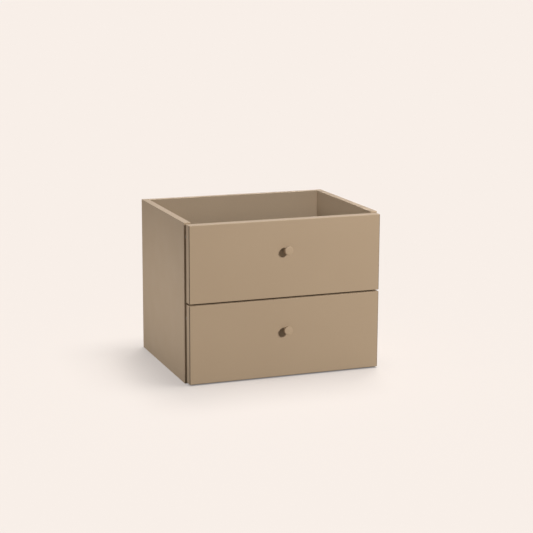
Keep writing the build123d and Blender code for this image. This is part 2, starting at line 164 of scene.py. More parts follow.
# %% Effect helpers
def effect_group(name, sizes, effects):
    """An empty shader group with inputs for sizes and outputs for what varies over a surface."""
    group = bpy.data.node_groups.new(name, "ShaderNodeTree")
    for size, value in sizes.items():
        socket = group.interface.new_socket(size, in_out="INPUT", socket_type="NodeSocketFloat")
        socket.default_value = value
    for effect in effects:
        group.interface.new_socket(effect, in_out="OUTPUT", socket_type="NodeSocketFloat")
    start = add_node(group, "NodeGroupInput")
    end = add_node(group, "NodeGroupOutput")
    place = add_node(group, "ShaderNodeTexCoord").outputs["Object"]
    return group, start.outputs, end.inputs, place


def noise(tree, place, scale, detail=2, roughness=0.5):
    """Grey noise from 0 to 1."""
    inputs = {"Vector": place, "Scale": scale, "Detail": detail, "Roughness": roughness}
    return add_node(tree, "ShaderNodeTexNoise", inputs).outputs["Fac"]


# %% [markdown]
# ## Wet film
# Sprayed lacquer and stoved coating are both films that were wet once. They dry with a faint orange peel
# and fine specks, and no coat is quite even in tone or polish. One noise alone would look like plaster, so
# the peel, the specks and the cloudy tone each have a size of their own.

# %% Wet film
speck_share = 0.35
polish_ratio = 3.7

wet_film, sizes, effects, place = effect_group(
    "wet_film", {"Peel Scale": 320, "Speck Scale": 2400, "Cloud Scale": 9}, ["Height", "Tone", "Polish"]
)
peel = noise(wet_film, place, sizes["Peel Scale"], detail=1)
specks = noise(wet_film, place, sizes["Speck Scale"], detail=2)
film = math_node(wet_film, "MULTIPLY_ADD", specks, speck_share, peel)
wet_film.links.new(film, effects["Height"])
wet_film.links.new(noise(wet_film, place, sizes["Cloud Scale"], detail=3), effects["Tone"])
patch_scale = math_node(wet_film, "MULTIPLY", sizes["Cloud Scale"], polish_ratio)
wet_film.links.new(noise(wet_film, place, patch_scale, detail=2), effects["Polish"])
print("effect:", wet_film.name, len(wet_film.nodes), "nodes")

# %% [markdown]
# ## Pressed foil
# Foil and faced board come out of a press, which leaves a fine emboss drawn out along the board. Noise
# that is squeezed in one direction gives that grain. A Wave texture would be too regular for it.

# %% Pressed foil
pressed_foil, sizes, effects, place = effect_group(
    "pressed_foil", {"Emboss Scale": 900, "Stretch": 0.12, "Cloud Scale": 14}, ["Height", "Tone"]
)
stretch = add_node(pressed_foil, "ShaderNodeCombineXYZ", {"X": 1.0, "Y": sizes["Stretch"], "Z": 1.0})
drawn_place = add_node(
    pressed_foil, "ShaderNodeVectorMath", {0: place, 1: stretch.outputs[0]}, operation="MULTIPLY"
).outputs[0]
pressed_foil.links.new(noise(pressed_foil, drawn_place, sizes["Emboss Scale"], detail=3), effects["Height"])
pressed_foil.links.new(noise(pressed_foil, drawn_place, sizes["Cloud Scale"], detail=4), effects["Tone"])
print("effect:", pressed_foil.name, len(pressed_foil.nodes), "nodes")

# %% [markdown]
# ## Bare metal
# Metal fittings are plated or cast, with tiny pits and cloudy patches. The pits are the cells of a Voronoi
# texture, which are rounder than noise, and the clouds are noise as before.

# %% Bare metal
bare_metal, sizes, effects, place = effect_group(
    "bare_metal", {"Pit Scale": 1800, "Cloud Scale": 160}, ["Height", "Tone", "Polish"]
)
pits = add_node(bare_metal, "ShaderNodeTexVoronoi", {"Vector": place, "Scale": sizes["Pit Scale"]})
bare_metal.links.new(pits.outputs["Distance"], effects["Height"])
bare_metal.links.new(noise(bare_metal, place, sizes["Cloud Scale"], detail=3), effects["Tone"])
bare_metal.links.new(noise(bare_metal, place, sizes["Pit Scale"], detail=1), effects["Polish"])
print("effect:", bare_metal.name, len(bare_metal.nodes), "nodes")

# %% [markdown]
# ## Finishes
# A finish starts from its two tones, a little darker and a little lighter than the colour that the eye
# reads, and lets one of the effects above move between them. The same effects move the roughness and lift
# the surface in a bump, so the film catches light as a real one does. A piece may also carry an attribute
# named painted_shading, which scales the tone: painted shade where it is below zero, a lighter tone above.


# %% Finish helper
finishes = {}
usual_noise = (0.25, 0.75)


def finish(name, effect, sizes, tones, roughness, bump, painted_shading_scale=0, **constants):
    """Mixes a material that one effect group varies. The attribute painted_shading scales its tone."""
    material = bpy.data.materials.new(name)
    material.use_nodes = True
    tree = material.node_tree
    tree.nodes.clear()
    group = add_node(tree, "ShaderNodeGroup", node_tree=effect)
    for size, value in sizes.items():
        group.inputs[size].default_value = value
    tone = add_node(
        tree,
        "ShaderNodeMix",
        {0: group.outputs["Tone"], 6: (*tones[0], 1), 7: (*tones[1], 1)},
        data_type="RGBA",
    ).outputs[2]
    # painted shade: an attribute scales the tone, darker along the fronts' upright edges, lighter on the
    # knob heads
    if painted_shading_scale:
        painted_shading = add_node(tree, "ShaderNodeAttribute", attribute_name="painted_shading").outputs["Fac"]
        shading = {0: tone, "Scale": math_node(tree, "MULTIPLY_ADD", painted_shading, painted_shading_scale, 1.0)}
        tone = add_node(tree, "ShaderNodeVectorMath", shading, operation="SCALE").outputs[0]
    sheen_source = "Polish" if "Polish" in group.outputs else "Tone"
    sheen = add_node(
        tree,
        "ShaderNodeMapRange",
        {
            "Value": group.outputs[sheen_source],
            "From Min": usual_noise[0],
            "From Max": usual_noise[1],
            "To Min": roughness[0],
            "To Max": roughness[1],
        },
    )
    lifted = {"Height": group.outputs["Height"], "Strength": bump[0], "Distance": bump[1]}
    relief = add_node(tree, "ShaderNodeBump", lifted)
    shader = add_node(
        tree,
        "ShaderNodeBsdfPrincipled",
        {
            "Base Color": tone,
            "Roughness": sheen.outputs["Result"],
            "Normal": relief.outputs["Normal"],
            **constants,
        },
    )
    add_node(tree, "ShaderNodeOutputMaterial", {"Surface": shader.outputs[0]})
    finishes[name] = material


# %% [markdown]
# ## Lacquer
# All that is seen of the closed cabinet wears one satin lacquer, sprayed on board. It is a low, even
# sheen with hardly any mirror in it, so the roughness is high and the reflection is kept weak. A gloss
# coat on top would be the other way to make it, but the photograph shows no sharp highlight anywhere.

# %% Lacquer
finish(
    "taupe_lacquer",
    wet_film,
    {"Peel Scale": 320, "Speck Scale": 2400, "Cloud Scale": 7},
    [(0.362, 0.269, 0.18), (0.382, 0.287, 0.194)],
    roughness=(0.55, 0.62),
    bump=(0.1, 0.0002),
    # how deep the painted shade along the upright edges of the fronts goes
    painted_shading_scale=0.8,
    **{"Specular IOR Level": 0.15},
)
print("finishes:", ", ".join(finishes))

# %% [markdown]
# ## Boards of the drawer boxes
# Drawer boxes are usually made of pale melamine-faced board with a thin foil-faced bottom, because nobody
# looks at them for long. Both are pressed, so they share the emboss, drawn long on the sides and short on
# the bottom.

# %% Boards
finish(
    "box_board",
    pressed_foil,
    {"Emboss Scale": 1400, "Stretch": 0.08, "Cloud Scale": 60},
    [(0.55, 0.5, 0.42), (0.66, 0.61, 0.53)],
    roughness=(0.44, 0.54),
    bump=(0.15, 0.0003),
)
finish(
    "tray_board",
    pressed_foil,
    {"Emboss Scale": 700, "Stretch": 0.5, "Cloud Scale": 24},
    [(0.53, 0.48, 0.41), (0.62, 0.57, 0.5)],
    roughness=(0.5, 0.6),
    bump=(0.12, 0.0003),
)
print("finishes:", ", ".join(finishes))

# %% [markdown]
# ## Runners and rollers
# Runners of this kind are sheet steel with a pale stoved coating, and their rollers are natural nylon.
# The coating is a wet film again, finer and glossier than the lacquer. Nylon lets a little light in,
# which is what the weak subsurface is for.

# %% Runner and roller finishes
finish(
    "runner_coating",
    wet_film,
    {"Peel Scale": 900, "Speck Scale": 4200, "Cloud Scale": 30},
    [(0.74, 0.72, 0.66), (0.8, 0.78, 0.72)],
    roughness=(0.3, 0.38),
    bump=(0.2, 0.0002),
)
finish(
    "roller_nylon",
    wet_film,
    {"Peel Scale": 1500, "Speck Scale": 5000, "Cloud Scale": 120},
    [(0.78, 0.77, 0.71), (0.86, 0.85, 0.8)],
    roughness=(0.42, 0.52),
    bump=(0.1, 0.0001),
    **{"Subsurface Weight": 0.15, "Subsurface Radius": (0.002, 0.0018, 0.0014)},
)
print("finishes:", ", ".join(finishes))

# %% [markdown]
# ## Small fittings
# Screws and pins are zinc-plated steel, cams are cast zinc, dowels are beech and the stops are soft
# rubber. The two metals differ in polish and pits, and the rubber borrows their cloudy patches at a high
# roughness.

# %% Fitting finishes
finish(
    "fastener_steel",
    bare_metal,
    {"Pit Scale": 2600, "Cloud Scale": 220},
    [(0.5, 0.5, 0.48), (0.66, 0.66, 0.64)],
    roughness=(0.24, 0.38),
    bump=(0.1, 0.0001),
    Metallic=1,
)
finish(
    "cam_zinc",
    bare_metal,
    {"Pit Scale": 1500, "Cloud Scale": 140},
    [(0.42, 0.42, 0.41), (0.57, 0.57, 0.56)],
    roughness=(0.4, 0.55),
    bump=(0.2, 0.0002),
    Metallic=1,
)
finish(
    "dowel_beech",
    pressed_foil,
    {"Emboss Scale": 1600, "Stretch": 0.05, "Cloud Scale": 320},
    [(0.48, 0.32, 0.18), (0.66, 0.49, 0.31)],
    roughness=(0.6, 0.75),
    bump=(0.3, 0.0003),
)
finish(
    "pad_rubber",
    bare_metal,
    {"Pit Scale": 2200, "Cloud Scale": 300},
    [(0.26, 0.24, 0.21), (0.33, 0.31, 0.28)],
    roughness=(0.6, 0.75),
    bump=(0.15, 0.0002),
)
print("finishes:", ", ".join(finishes))

# %% [markdown]
# ## Finishes on the solids
# The record says which finish each solid wears, so the finishes are handed out by that list. Flat panels
# need nothing more than this: a sawn and sprayed board is as plain as its solid.

# %% Finishes on the solids
slot_of = {part["node"]: part["material_slot"] for part in frame["record"]["subparts"]}
for node, solid in frame["nodes"].items():
    solid.data.materials.clear()
    solid.data.materials.append(finishes[slot_of[node]])
print("finished solids:", len(slot_of))


# %% [markdown]
# ## Pieces that ride along
# A new piece is made in its place, linked to the scene, tied to the body that carries it, and the solids
# that it stands for are hidden. That is the same for all of them, so it is one helper.


# %% Piece helper
def fit(name, mesh, body, slot, *nodes):
    """Adds a finished mesh as a piece that rides on a body and stands for CAD nodes."""
    piece = bpy.data.objects.new(name, mesh)
    bpy.context.scene.collection.objects.link(piece)
    if not mesh.materials:
        mesh.materials.append(finishes[slot])
    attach(piece, body)
    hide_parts(*nodes)


# %% [markdown]
# ## Drawer fronts
# A lacquered front has no sharp edge anywhere: it is sanded round before it is sprayed. The solid has its
# face edges rounded, and here the corners are rounded as well. A Bevel modifier would do it, but a
# rounded box has a simple rule for its normals, which point away from an inner box, and with them the
# large faces stay perfectly flat to the light. The upright edges lie in shade and read as thin dark lines
# in the photograph, so painted shade darkens the tone along their rounding.

# %% Board helper
round_profile = 0.5


def eased_board(name, low, high, radius, steps):
    """A board with rounded edges. Its attribute of painted shade is lowest along the upright ones."""
    shape = bmesh.new()
    bmesh.ops.create_cube(shape, size=1)
    for corner in shape.verts:
        corner.co = (low + high) / 2 + Vector(c * s for c, s in zip(corner.co, high - low))
    edges = list(shape.edges)
    bmesh.ops.bevel(shape, geom=edges, offset=radius, segments=steps, profile=round_profile, affect="EDGES")
    mesh = bpy.data.meshes.new(name)
    shape.to_mesh(mesh)
    shape.free()
    inner_low = low + Vector((radius,) * 3)
    inner_high = high - Vector((radius,) * 3)
    normals = []
    painted_shading = mesh.attributes.new("painted_shading", "FLOAT", "POINT")
    for vertex in mesh.vertices:
        inside = Vector(min(max(c, a), b) for c, a, b in zip(vertex.co, inner_low, inner_high))
        outward = (vertex.co - inside).normalized()
        normals.append(outward)
        # painted shade along the upright edges
        # the fourth root keeps the value near its lowest over the whole width of the rounding
        painted_shading.data[vertex.index].value = -math.sqrt(math.sqrt(2 * abs(outward.x * outward.y)))
    mesh.shade_smooth()
    mesh.normals_split_custom_set_from_vertices(normals)
    return mesh


# %% Drawer fronts
drawers = ("upper", "lower")
front_round = 0.0015
round_steps = 5

for drawer in drawers:
    low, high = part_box(f"{drawer}_drawer_front")
    board = eased_board(f"{drawer}_front_board", low, high, front_round, round_steps)
    fit(f"{drawer}_front_board", board, f"{drawer}_drawer", "taupe_lacquer", f"{drawer}_drawer_front")
    print(drawer, "front:", len(board.polygons), "faces")

# %% [markdown]
# ## Turned pieces
# Knobs and rollers are both a profile that goes once round an axis, one on a lathe and one in a mould.
# Blender's Screw modifier can turn a profile too, but points laid on rings keep the poles clean.

# %% Turning helpers
seam_width = 1e-7
crease_angle = math.radians(40)


def turned(name, profile, origin, axis, steps=64):
    """A mesh turned from (radius, distance along the axis) points. A closed profile has no poles."""
    axis = Vector(axis)
    across = axis.orthogonal().normalized()
    upward = axis.cross(across)
    angles = [math.tau * step / steps for step in range(steps)]
    spokes = [across * math.cos(angle) + upward * math.sin(angle) for angle in angles]
    shape = bmesh.new()
    rings = []
    for radius, distance in profile:
        middle = origin + axis * distance
        if radius == 0:
            rings.append([shape.verts.new(middle)])
        else:
            rings.append([shape.verts.new(middle + radius * spoke) for spoke in spokes])
    for ring, following in zip(rings, rings[1:]):
        for step in range(steps):
            corners = [ring[step % len(ring)], ring[(step + 1) % len(ring)]]
            corners += [following[(step + 1) % len(following)], following[step % len(following)]]
            shape.faces.new(list(dict.fromkeys(corners)))
    bmesh.ops.remove_doubles(shape, verts=shape.verts, dist=seam_width)
    bmesh.ops.recalc_face_normals(shape, faces=shape.faces)
    mesh = bpy.data.meshes.new(name)
    shape.to_mesh(mesh)
    shape.free()
    mesh.shade_smooth()
    mesh.set_sharp_from_angle(angle=crease_angle)
    return mesh


def arc(middle, radius, start, end, steps=8):
    """Points on an arc from one angle to another, in degrees."""
    angles = [math.radians(start + (end - start) * step / steps) for step in range(steps + 1)]
    return [(middle[0] + radius * math.cos(a), middle[1] + radius * math.sin(a)) for a in angles]


# %% [markdown]
# ## Knobs
# The knob has a slim neck that sweeps out to a flat head with a soft rim, so that two fingers can hook
# behind it. The sweep follows a power of the distance, which is slow at the neck and quick at the rim.
# The heads look a touch lighter than the fronts in the photograph, though they wear the same lacquer, so
# their tone is painted a little lighter.

# %% Knobs
rim_round = 0.0012
neck_radius = 0.0045
neck_foot = 0.0007
flare_start = 0.0035
flare_end = 0.0095
flare_power = 1.8
crown = 0.0002
crown_shares = (0.7, 0.45, 0.2)
knob_steps = 14
knob_lightening = 0.085

for drawer in drawers:
    low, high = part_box(f"{drawer}_knob")
    head_radius = (high.x - low.x) / 2
    length = high.y - low.y
    origin = Vector(((low.x + high.x) / 2, high.y, (low.z + high.z) / 2))
    sweep = []
    for step in range(knob_steps + 1):
        share = step / knob_steps
        radius = neck_radius + (head_radius - neck_radius) * share**flare_power
        sweep.append((radius, flare_start + (flare_end - flare_start) * share))
    rim_middle = (head_radius - rim_round, length - crown - rim_round)
    profile = [(0, 0), (neck_radius + neck_foot, 0), (neck_radius, neck_foot), *sweep]
    profile += arc(rim_middle, rim_round, 0, 90)
    profile += [(head_radius * share, length - crown * share**2) for share in crown_shares]
    profile += [(0, length)]
    knob = turned(f"{drawer}_turned_knob", profile, origin, (0, -1, 0))
    # a lighter tone painted on the heads, through the same attribute as the painted shade
    painted_shading = knob.attributes.new("painted_shading", "FLOAT", "POINT")
    for entry in painted_shading.data:
        entry.value = knob_lightening
    fit(f"{drawer}_turned_knob", knob, f"{drawer}_drawer", "taupe_lacquer", f"{drawer}_knob")
    print(drawer, "knob:", len(knob.polygons), "faces")

# %% [markdown]
# ## Rollers
# A roller is moulded nylon, with a slightly crowned tread so that it runs on its middle, and a hub that
# stands proud so that only the hub rubs on the rail. Half the profile is drawn and mirrored, then closed
# round the bore.

# %% Rollers
bore_radius = 0.00208
hub_radius = 0.0036
hub_inset = 0.0004
tread_round = 0.0006
tread_crown = 0.00012
tread_steps = 5
roller_steps = 48

for node in [n for n in frame["nodes"] if n.endswith("_roller")]:
    low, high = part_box(node)
    half = (high.x - low.x) / 2
    radius = (high.z - low.z) / 2
    edge = radius - tread_crown - tread_round
    profile = [(bore_radius, -half), (hub_radius, -half), (hub_radius + hub_inset, -half + hub_inset)]
    profile += [(edge - hub_inset, -half + hub_inset), (edge, -half + hub_inset / 2)]
    profile += arc((edge, -half + hub_inset / 2 + tread_round), tread_round, -90, 0, tread_steps)
    profile += [(radius, 0)]
    profile += [(r, -d) for r, d in reversed(profile[:-1])]
    profile += [profile[0]]
    wheel = turned(f"{node}_wheel", profile, (low + high) / 2, (1, 0, 0), roller_steps)
    fit(f"{node}_wheel", wheel, node.replace("_roller", "_wheel"), "roller_nylon", node)
print("rollers:", len(wheel.polygons), "faces each")

# %% [markdown]
# ## Screw heads, rivets and cams
# The solids of the fittings are plain prisms. On the real thing they are pan-head screws with a cross
# drive, riveted pins and round cams. They all repeat one idea, a low round head with an optional cross
# and a shank, so one Geometry Nodes tree makes them from named sizes. Copying objects by hand would be
# longer and harder to change.

# %% Fastener tree
head_sizes = {
    "Head Radius": 0.003,
    "Head Height": 0.001,
    "Crown": 0.4,
    "Shank Radius": 0.0017,
    "Shank Length": 0.009,
    "Drive Reach": 0.0016,
    "Drive Width": 0.0007,
    "Drive Depth": 0.0006,
    "Drive Lift": 0,
}
socket_kinds = {"Places": "NodeSocketGeometry"}
socket_kinds.update(dict.fromkeys(head_sizes, "NodeSocketFloat"))
socket_kinds["Finish"] = "NodeSocketMaterial"

fastener_tree = bpy.data.node_groups.new("fastener_heads", "GeometryNodeTree")
fastener_tree.is_modifier = True
sockets = {}
for name, kind in socket_kinds.items():
    socket = fastener_tree.interface.new_socket(name, in_out="INPUT", socket_type=kind)
    sockets[name] = socket.identifier
fastener_tree.interface.new_socket("Fasteners", in_out="OUTPUT", socket_type="NodeSocketGeometry")
given = add_node(fastener_tree, "NodeGroupInput").outputs
print("fastener inputs:", ", ".join(sockets))


# %% [markdown]
# ## The head
# A head starts as a flat disc of several rings. Its points are then moved: the higher ones closer to the
# middle, and the outer ones lower, which gives the soft crown that a heading die leaves.


# %% Head
def maths(operation, *values):
    """The result of a Math node in the fastener tree."""
    return math_node(fastener_tree, operation, *values)


head_corners = 28
head_levels = 4
head_rings = 3
draw_power = 3
waist_share = 0.45

disc = add_node(
    fastener_tree,
    "GeometryNodeMeshCylinder",
    {
        "Vertices": head_corners,
        "Side Segments": head_levels,
        "Fill Segments": head_rings,
        "Radius": given["Head Radius"],
        "Depth": given["Head Height"],
    },
)
position = add_node(fastener_tree, "GeometryNodeInputPosition").outputs[0]
point = add_node(fastener_tree, "ShaderNodeSeparateXYZ", {0: position}).outputs
square = maths("ADD", maths("POWER", point[0], 2.0), maths("POWER", point[1], 2.0))
from_middle = maths("DIVIDE", maths("SQRT", square), given["Head Radius"])
rise = maths("ADD", maths("DIVIDE", point[2], given["Head Height"]), 0.5)
drawn_in = maths("MULTIPLY", maths("POWER", rise, draw_power), given["Crown"])
narrowing = maths("SUBTRACT", 1.0, maths("MULTIPLY", drawn_in, waist_share))
sinking = maths("SUBTRACT", 1.0, maths("MULTIPLY", maths("POWER", from_middle, 2.0), given["Crown"]))
crowned = add_node(
    fastener_tree,
    "ShaderNodeCombineXYZ",
    {
        0: maths("MULTIPLY", point[0], narrowing),
        1: maths("MULTIPLY", point[1], narrowing),
        2: maths("MULTIPLY", maths("MULTIPLY", rise, given["Head Height"]), sinking),
    },
)
moved = {"Geometry": disc.outputs["Mesh"], "Position": crowned.outputs[0]}
head = add_node(fastener_tree, "GeometryNodeSetPosition", moved)
print("fastener head:", len(fastener_tree.nodes), "nodes so far")

# %% [markdown]
# ## Cross and shank
# The cross drive is punched into the head, so two bars are cut out of it. The shank below is hidden in
# its bore and stays a plain cylinder: a thread would only cost faces.

# %% Cross and shank
shank_corners = 16

bars = add_node(fastener_tree, "GeometryNodeJoinGeometry")
reach = maths("MULTIPLY", given["Drive Reach"], 2.0)
depth = maths("MULTIPLY", given["Drive Depth"], 2.0)
for bar_sides in ({0: reach, 1: given["Drive Width"]}, {0: given["Drive Width"], 1: reach}):
    bar_size = add_node(fastener_tree, "ShaderNodeCombineXYZ", {**bar_sides, 2: depth})
    bar = add_node(fastener_tree, "GeometryNodeMeshCube", {"Size": bar_size.outputs[0]})
    fastener_tree.links.new(bar.outputs["Mesh"], bars.inputs[0])
bar_level = maths("ADD", given["Head Height"], given["Drive Lift"])
lift = add_node(fastener_tree, "ShaderNodeCombineXYZ", {2: bar_level})
cross = add_node(
    fastener_tree, "GeometryNodeTransform", {"Geometry": bars.outputs[0], "Translation": lift.outputs[0]}
)
driven = add_node(
    fastener_tree,
    "GeometryNodeMeshBoolean",
    {"Mesh 1": head.outputs[0], "Mesh 2": cross.outputs[0], "Self Intersection": True},
    operation="DIFFERENCE",
    solver="EXACT",
)
shank = add_node(
    fastener_tree,
    "GeometryNodeMeshCylinder",
    {"Vertices": shank_corners, "Radius": given["Shank Radius"], "Depth": given["Shank Length"]},
)
sunk = add_node(fastener_tree, "ShaderNodeCombineXYZ", {2: maths("MULTIPLY", given["Shank Length"], -0.5)})
lowered = {"Geometry": shank.outputs["Mesh"], "Translation": sunk.outputs[0]}
stem = add_node(fastener_tree, "GeometryNodeTransform", lowered)
whole = add_node(fastener_tree, "GeometryNodeJoinGeometry")
fastener_tree.links.new(driven.outputs[0], whole.inputs[0])
fastener_tree.links.new(stem.outputs[0], whole.inputs[0])
print("fastener with cross and shank:", len(fastener_tree.nodes), "nodes so far")

# %% [markdown]
# ## Copies
# One head is set on every place, facing as the place says and turned by a random amount, because a fitter
# never leaves two crosses alike. It is smooth to the light apart from its real edges.

# %% Copies
sharp_angle = 0.6
spin_seed = 7

smooth = add_node(fastener_tree, "GeometryNodeSetShadeSmooth", {0: whole.outputs[0]}, domain="FACE")
angle = add_node(fastener_tree, "GeometryNodeInputMeshEdgeAngle").outputs["Unsigned Angle"]
sharp = add_node(fastener_tree, "FunctionNodeCompare", {0: angle, 1: sharp_angle}, operation="GREATER_THAN")
edged = add_node(
    fastener_tree,
    "GeometryNodeSetShadeSmooth",
    {0: smooth.outputs[0], 1: sharp.outputs[0], 2: False},
    domain="EDGE",
)
facing = add_node(
    fastener_tree, "GeometryNodeInputNamedAttribute", {"Name": "facing"}, data_type="FLOAT_VECTOR"
).outputs["Attribute"]
aimed = add_node(fastener_tree, "FunctionNodeAlignRotationToVector", {"Vector": facing}, axis="Z")
spin = add_node(
    fastener_tree, "FunctionNodeRandomValue", {2: 0.0, 3: math.tau, "Seed": spin_seed}, data_type="FLOAT"
).outputs[1]
turn = add_node(fastener_tree, "FunctionNodeAxisAngleToRotation", {"Axis": (0, 0, 1), "Angle": spin})
spun = add_node(
    fastener_tree,
    "FunctionNodeRotateRotation",
    {0: aimed.outputs[0], 1: turn.outputs[0]},
    rotation_space="LOCAL",
)
copies = add_node(
    fastener_tree,
    "GeometryNodeInstanceOnPoints",
    {"Points": given["Places"], "Instance": edged.outputs[0], "Rotation": spun.outputs[0]},
)
real = add_node(fastener_tree, "GeometryNodeRealizeInstances", {0: copies.outputs[0]})
coating = {0: real.outputs[0], "Material": given["Finish"]}
coated = add_node(fastener_tree, "GeometryNodeSetMaterial", coating)
add_node(fastener_tree, "NodeGroupOutput", {0: coated.outputs[0]})
print("fastener tree:", len(fastener_tree.nodes), "nodes")


# %% [markdown]
# ## Places of the fittings
# A row of screws is one solid with several separate parts. Each part tells where a head belongs, so the
# parts are found by walking along the edges, and the head goes to the end that faces out. Measuring keeps
# the heads in step with the solids, which a list of typed places would not.

# %% Place helper
weld_width = 1e-6


def solids_of(node):
    """Lowest and highest corner of each separate solid of a CAD node."""
    shape = bmesh.new()
    shape.from_mesh(frame["nodes"][node].data)
    bmesh.ops.remove_doubles(shape, verts=shape.verts, dist=weld_width)
    unseen = set(shape.verts)
    boxes = []
    while unseen:
        island = [unseen.pop()]
        for vertex in island:
            for link in vertex.link_edges:
                other = link.other_vert(vertex)
                if other in unseen:
                    unseen.remove(other)
                    island.append(other)
        corners = list(zip(*(v.co for v in island)))
        boxes.append((Vector(map(min, corners)), Vector(map(max, corners))))
    shape.free()
    return boxes


# %% Fastener helper
def fit_fasteners(name, node, body, slot, facing, own_sizes):
    """Sets heads on the solids of a node. A facing along X is turned over on the left half."""
    sizes = {**head_sizes, **own_sizes}
    places = []
    directions = []
    for low, high in solids_of(node):
        middle = (low + high) / 2
        outward = Vector((facing[0] * math.copysign(1, middle.x), facing[1], facing[2]))
        half = sum(abs(o) * s / 2 for o, s in zip(outward, high - low))
        places.append(middle + outward * (half - sizes["Head Height"]))
        directions.append(outward)
    points = bpy.data.meshes.new(f"{name}_places")
    points.from_pydata(places, [], [])
    facing_data = points.attributes.new("facing", "FLOAT_VECTOR", "POINT").data
    for entry, direction in zip(facing_data, directions):
        entry.vector = direction
    maker = bpy.data.objects.new(f"{name}_places", points)
    bpy.context.scene.collection.objects.link(maker)
    heads = maker.modifiers.new("heads", "NODES")
    heads.node_group = fastener_tree
    for size, value in sizes.items():
        heads[sockets[size]] = value
    heads[sockets["Finish"]] = finishes[slot]
    mesh = bpy.data.meshes.new_from_object(maker.evaluated_get(bpy.context.evaluated_depsgraph_get()))
    mesh.name = name
    bpy.data.objects.remove(maker)
    fit(name, mesh, body, slot, node)
    print(name, len(places), "places", len(mesh.polygons), "faces")


# %% [markdown]
# ## Sizes of the heads
# Sunk heads lie flush with their board, and are a little wider than the bore so that no rim of the bore
# shows. Rail screws and rivets have low pan heads that clear the moving rail. Rivets and rubber stops
# have no cross: for them the two bars are lifted clear of the head, so that they cut nothing.

# %% Head sizes
no_drive = {"Drive Lift": 0.01}
wide_drive = {"Drive Reach": 0.0022, "Drive Width": 0.0009}
sunk_head = {
    "Head Radius": 0.0042,
    "Head Height": 0.002,
    "Crown": 0.02,
    **wide_drive,
    "Drive Depth": 0.0011,
}
back_head = {**sunk_head, "Shank Length": 0.033}
box_head = {**sunk_head, "Shank Length": 0.038}
rail_head = {"Shank Length": 0.0098}
tray_head = {"Head Height": 0.0018, "Shank Radius": 0.0015, "Shank Length": 0.0178}
knob_head = {
    "Head Radius": 0.004,
    "Head Height": 0.0025,
    "Shank Radius": 0.0019,
    "Shank Length": 0.027,
    **wide_drive,
    "Drive Depth": 0.0012,
}
cam_face = {
    "Head Radius": 0.0061,
    "Head Height": 0.003,
    "Crown": 0.02,
    "Shank Radius": 0.005,
    "Shank Length": 0.006,
    "Drive Reach": 0.0042,
    "Drive Width": 0.0014,
    "Drive Depth": 0.0016,
}
rivet = {
    "Head Radius": 0.0035,
    "Head Height": 0.0008,
    "Crown": 0.35,
    "Shank Radius": 0.00198,
    **no_drive,
}
front_rivet = {**rivet, "Shank Length": 0.0088}
rear_rivet = {**rivet, "Shank Length": 0.0091}
bumper = {
    "Head Radius": 0.004,
    "Head Height": 0.0027,
    "Crown": 0.3,
    "Shank Radius": 0.001,
    "Shank Length": 0.0005,
    **no_drive,
}
print("widest head:", 2 * cam_face["Head Radius"], "m")

# %% [markdown]
# ## Setting the fittings
# Each row of fittings faces out of the board or rail that it holds. The rows on the drawers ride with
# their drawer, and the rest stay with the case.

# %% Fittings
outwards = (1, 0, 0)
inwards = (-1, 0, 0)
to_back = (0, 1, 0)
to_front = (0, -1, 0)
downwards = (0, 0, -1)
steel = "fastener_steel"

fit_fasteners("back_screw_heads", "back_panel_screws", "case", steel, to_back, back_head)
fit_fasteners("stop_bumpers", "stop_pads", "case", "pad_rubber", to_front, bumper)
for drawer in drawers:
    box = f"{drawer}_drawer"
    rows = [
        ("case_rail_screw_heads", "case_rail_screws", "case", steel, inwards, rail_head),
        ("drawer_rail_screw_heads", "drawer_rail_screws", box, steel, outwards, rail_head),
        ("box_screw_heads", "drawer_back_screws", box, steel, outwards, box_head),
        ("tray_screw_heads", "drawer_tray_screws", box, steel, downwards, tray_head),
        ("knob_screw_head", "knob_screw", box, steel, to_back, knob_head),
        ("box_cam_faces", "drawer_cams", box, "cam_zinc", inwards, cam_face),
        ("front_roller_rivets", "front_roller_pins", "case", steel, inwards, front_rivet),
        ("rear_roller_rivets", "rear_roller_pins", box, steel, outwards, rear_rivet),
    ]
    for heads, solids, body, slot, direction, own_sizes in rows:
        fit_fasteners(f"{drawer}_{heads}", f"{drawer}_{solids}", body, slot, direction, own_sizes)

# %% [markdown]
# ## Floor
# The picture has no horizon: floor and background are one warm white, and only a soft shadow shows where
# the floor is. A very wide floor under parallel light is evenly bright everywhere. Part of the white is a
# glow that only the camera and reflections see, so that the paper stays clean where light bounces off the
# cabinet. Under the cabinet there is little glow, which leaves the dark line below the fronts. Bounced
# light sees a dim paper, because no studio has a white floor without end.

# %% Floor helpers
foot_blur = (-0.01, 0)
foot_glow = 0.25


def seen_ray(tree):
    """Is 1 for the rays of the camera, of reflections and through glass, and 0 for all others."""
    ray = add_node(tree, "ShaderNodeLightPath").outputs
    seen = ray["Is Camera Ray"]
    for other in ("Is Glossy Ray", "Is Transmission Ray"):
        seen = math_node(tree, "MAXIMUM", seen, ray[other])
    return seen


def outside_of(tree, place, low, high):
    """Is 1 on the open floor and foot_glow under a box, with a soft edge between them."""
    where = add_node(tree, "ShaderNodeSeparateXYZ", {0: place}).outputs
    middle = (low + high) / 2
    gaps = []
    for axis in (0, 1):
        reach = math_node(tree, "ABSOLUTE", math_node(tree, "SUBTRACT", where[axis], middle[axis]))
        gaps.append(math_node(tree, "SUBTRACT", reach, high[axis] - middle[axis]))
    gap = math_node(tree, "MAXIMUM", *gaps)
    edge = {"Value": gap, "From Min": foot_blur[0], "From Max": foot_blur[1], "To Min": foot_glow}
    return add_node(tree, "ShaderNodeMapRange", edge).outputs["Result"]


# %% Floor
floor_paper = [(0.374, 0.345, 0.323), (0.386, 0.355, 0.333)]
fibre_scale = 700
floor_glow = (0.374, 0.352, 0.341)
floor_bounce = (0.253, 0.236, 0.219)
floor_reach = 150

